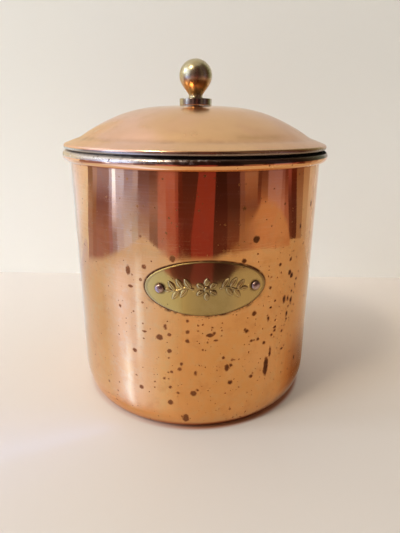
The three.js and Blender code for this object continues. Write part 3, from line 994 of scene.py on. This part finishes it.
# The line where the room meets the table: direction in degrees, distance from the axis, height.
ROOM_FOOT = [
    (-152, 0.4, 0), (-116, 0.4, 0), (-112, 0.305, 0), (-100, 0.314, 0), (-90, 0.321, 0),
    (-80, 0.34, 0), (-74, 0.352, 0), (-68, 0.371, 0), (-60, 0.4, 0), (-53, 0.4, 0.008),
    (-48, 0.4, 0.016), (-44, 0.4, 0.013), (-37, 0.4, 0.004), (-33, 0.395, 0), (-25, 0.357, 0),
    (11, 0.358, 0), (17, 0.373, 0), (25, 0.4, 0), (82, 0.4, 0), (84, 0.4, 0.007),
    (104, 0.4, 0.004),
]


def towards(degrees, r, z):
    """The point in a direction, in degrees to the right of the plate's middle."""
    return round_z(math.radians(degrees - 90), r, z)


def foot_at(degrees):
    """Distance and height of the room's lower edge in a direction."""
    for (a, *start), (b, *end) in zip(ROOM_FOOT, ROOM_FOOT[1:]):
        if a <= degrees <= b:
            return between(start, end, (degrees - a) / (b - a))
    return ROOM_FOOT[-1][1:]


def glow_mesh(name, vertices, colours, faces):
    """A card seen in reflections only, in its own colours: it lights nothing and casts no shadow.

    A colour's fourth number says how much of what is behind it the card covers.
    """
    g = Graph(name)
    paint = g.node("ShaderNodeAttribute", attribute_name="glow").outputs
    light = g.node("ShaderNodeEmission", {"Color": paint["Color"]})
    material = g.cover(paint["Alpha"], g.node("ShaderNodeBsdfTransparent"), light)
    card = stage_mesh(name, vertices, faces, material)
    glow = card.data.attributes.new("glow", "FLOAT_COLOR", "POINT")
    glow.data.foreach_set("color", [c for colour in colours for c in colour])
    for ray in ("camera", "diffuse", "shadow", "transmission"):
        setattr(card, f"visible_{ray}", False)


def room_distance(degrees):
    """How far the room stands from the axis: a ring, cut short by the wall behind."""
    angle = math.radians(degrees)
    towards_wall = -math.cos(angle) + math.tan(-WALL_YAW) * math.sin(angle)
    return min(ROOM_R, (WALL_BEHIND_M - 0.005) / towards_wall) if towards_wall > 0.1 else ROOM_R


def room_top(degrees):
    """Height of the room's upper edge in a direction, in metres."""
    return next(top for end, top in ROOM_TOPS if degrees < end)


def room():
    vertices, colours, faces = [], [], []
    start = ROOM_FROM
    for low_end, high_end, low, middle, high in ROOM:
        columns = max(2, round((low_end - start[0]) / 3))
        # Far above the caddy the room is greyer: there it is only mirrored by tin and brass.
        greyer = (0.95, 0.72, 0.42) if low_end < -35 else (0.42, 0.5, 0.36)
        plain = [c * grey for c, grey in zip(high, greyer)]
        first = len(vertices)
        for i in range(columns + 1):
            ends = between(start, (low_end, high_end), i / columns)
            near, foot = foot_at(ends[0])
            far = room_distance(ends[0])
            near = min(near, far)
            heights = (0, ROOM_LOW, ROOM_MIDDLE, ROOM_HIGH, ROOM_PLAIN, room_top(ends[0]))
            profile = [(near, foot, (*low, 0)), (near + min(0.025, far - near), foot, (*low, 1))]
            for z, colour in zip(heights, (low, low, middle, high, plain, plain)):
                profile.append((far, max(z, foot), (*colour, 1)))
            for out, z, colour in profile:
                rise = min(max((z - ROOM_LOW) / (ROOM_HIGH - ROOM_LOW), 0), 1)
                vertices.append(towards(ends[0] + (ends[1] - ends[0]) * rise, out, z + ROOM_LIFT))
                colours.append(colour)
        faces += strip_faces(columns + 1, len(profile), first)
        start = (low_end, high_end)
    glow_mesh("room", vertices, colours, faces)


# A warm cloth low down on the right, in front of the room: direction, height and colour.
CLOTH = [
    (25, 0.003, (0.36, 0.22, 0.16)), (30, 0.01, (0.37, 0.23, 0.17)), (36, 0.024, (0.38, 0.24, 0.2)),
    (39, 0.034, (0.42, 0.27, 0.22)), (43, 0.042, (0.48, 0.31, 0.26)), (47, 0.051, (0.56, 0.37, 0.29)),
    (50, 0.06, (0.58, 0.38, 0.3)), (56, 0.063, (0.6, 0.39, 0.31)), (63, 0.058, (0.6, 0.4, 0.32)),
    (71, 0.047, (0.59, 0.41, 0.32)), (79, 0.031, (0.57, 0.38, 0.29)), (84, 0.008, (0.55, 0.36, 0.27)),
]
CLOTH_R = 0.392


def cloth():
    vertices, colours = [], []
    for degrees, top, colour in CLOTH:
        for z, cover in ((CLOTH_LIFT, 1), (max(top - 0.005, 0.001), 1), (top + 0.006, 0)):
            vertices.append(towards(degrees, CLOTH_R, z))
            colours.append((*colour, cover))
    glow_mesh("cloth", vertices, colours, strip_faces(len(CLOTH), 3))


# What the canister mirrors of the table, by the direction that its wall faces in degrees: the table's
# colour near it, its colour further off, and how much of the plain floor it covers.
GLEAM = [
    (-84, (0.77, 0.7, 0.62), (0.82, 0.86, 0.88), 1),
    (-62, (0.84, 0.82, 0.76), (0.81, 0.86, 0.9), 1),
    (-47, (0.87, 0.96, 1.15), (0.8, 0.88, 1.08), 1),
    (-41, (0.96, 1.15, 2), (0.92, 1.15, 2), 1),
    (-37, (1.16, 1.58, 3.25), (1.1, 1.44, 3), 1),
    (-34, (1.42, 2.25, 5), (1.07, 1.39, 2.85), 1),
    (-31, (1.05, 1.33, 2.55), (0.97, 1.24, 2.38), 1),
    (-29.5, (1.01, 1.24, 2.2), (0.97, 1.24, 2.4), 1),
    (-28, (1.01, 1.23, 2.12), (1.14, 1.66, 3.35), 1),
    (-25, (0.93, 1.06, 1.6), (0.88, 1.04, 1.62), 1),
    (-18, (0.85, 0.9, 1), (0.8, 0.86, 1.03), 0.9),
    (-13.5, (0.79, 0.77, 0.77), (0.76, 0.79, 0.87), 0.7),
    (-9, (0.72, 0.66, 0.58), (0.6, 0.7, 0.75), 0),
]
TABLE_STEPS_M = [0.003, 0.014, 0.03, 0.06, 0.1, 0.15, 0.2, 0.25, 0.31, 0.45]
GLEAM_FAR_M = (0.045, 0.12)
FAR_TABLE = (0.73, 0.81, 1.08)  # the table's colour where it meets the room
FAR_TABLE_M = (0.2, 0.34)
# The same for the caddy's shadow on the right, which is brown and fades away from it.
SHADE = [
    (30, (0.6, 0.5, 0.38), (0.6, 0.5, 0.4), 0),
    (36, (0.58, 0.45, 0.3), (0.6, 0.51, 0.41), 0.8),
    (42, (0.48, 0.29, 0.14), (0.58, 0.48, 0.36), 1),
    (48, (0.3, 0.14, 0.05), (0.59, 0.48, 0.35), 1),
    (56, (0.22, 0.1, 0.035), (0.6, 0.51, 0.39), 1),
    (72, (0.34, 0.19, 0.1), (0.62, 0.57, 0.5), 1),
    (80, (0.42, 0.27, 0.16), (0.64, 0.61, 0.56), 1),
]
SHADE_FAR_M = (0.02, 0.13)


def mirrored_table(name, columns, far):
    """A card on the table, along the lines that the canister mirrors to the photograph's viewpoint."""
    vertices, colours = [], []
    for facing, near_colour, far_colour, cover in columns:
        start = towards(facing, WALL_R * MM, TABLE_LIFT)
        away = 2 * facing - math.degrees(math.atan2(CAMERA_M.x - start.x, start.y - CAMERA_M.y))
        for step in TABLE_STEPS_M:
            vertices.append(start + towards(away, step, 0))
            beyond = smooth(*FAR_TABLE_M, step) if facing < 0 else 0
            colour = between(near_colour, far_colour, smooth(*far, step))
            colour = between(colour, FAR_TABLE, beyond)
            colours.append((*colour, cover * smooth(0.002, 0.02, step)))
    glow_mesh(name, vertices, colours, strip_faces(len(columns), len(TABLE_STEPS_M)))


def area_light(name, place, size, watts, colour, target=(0, 0, 0.08), spread=180, mirrored=True):
    data = bpy.data.lights.new(name, "AREA")
    data.shape = "RECTANGLE"
    data.size, data.size_y = size
    data.energy = watts
    data.color = colour
    data.spread = math.radians(spread)
    light = linked(name, data)
    light.visible_glossy = mirrored
    light.location = place
    light.rotation_euler = (Vector(target) - Vector(place)).to_track_quat("-Z", "Y").to_euler()


def lights():
    area_light("lamp", (-0.81, -0.6, 1.49), (0.22, 0.22), 8, (1, 0.88, 0.72))
    area_light("window_left", (-2.7, -0.08, 1.15), (0.65, 1.6), 33, (0.72, 0.86, 1))
    area_light("window_right", (-2.5, -0.92, 1.15), (0.65, 1.6), 33, (0.72, 0.86, 1))
    # A soft wash over the foot of the wall and the table in front of it.
    area_light(
        "wash", (-0.05, -0.85, 1), (1.3, 0.08), 0.2, (1, 0.96, 0.9),
        target=(0.05, 0.15, 0.02), spread=16, mirrored=False
    )
    g = Graph("soft_room", bpy.data.worlds, "ShaderNodeOutputWorld")
    x, _, z = g.split(g.place["Generated"])
    rise = g.node("ShaderNodeMapRange", {"Value": z, "From Max": 0.9}).outputs[0]
    sky = g.mix(rise, (0.4, 0.35, 0.295), (0.71, 0.645, 0.55))
    # The side away from the window is a little dimmer.
    ends = {"Value": x, "From Min": -0.5, "From Max": 0.9, "To Min": 1.03, "To Max": 0.82}
    strength = g.node("ShaderNodeMapRange", ends).outputs[0]
    background = g.node("ShaderNodeBackground", {"Color": sky, "Strength": strength})
    bpy.context.scene.world = g.surface(background)


def camera():
    data = bpy.data.cameras.new("camera")
    data.sensor_width = 36
    data.lens = 29.07
    data.clip_start = 0.01
    eye = linked("camera", data)
    turn = (
        Matrix.Rotation(VIEW_YAW, 4, "Z") @ Matrix.Rotation(math.pi / 2 - VIEW_PITCH, 4, "X")
        @ Matrix.Rotation(VIEW_ROLL, 4, "Z")
    )
    eye.matrix_world = Matrix.Translation(CAMERA_M) @ turn
    bpy.context.scene.camera = eye


floor_and_wall()
room()
cloth()
mirrored_table("gleam", GLEAM, GLEAM_FAR_M)
mirrored_table("shade", SHADE, SHADE_FAR_M)
lights()
camera()
bpy.context.scene.view_settings.view_transform = "Standard"
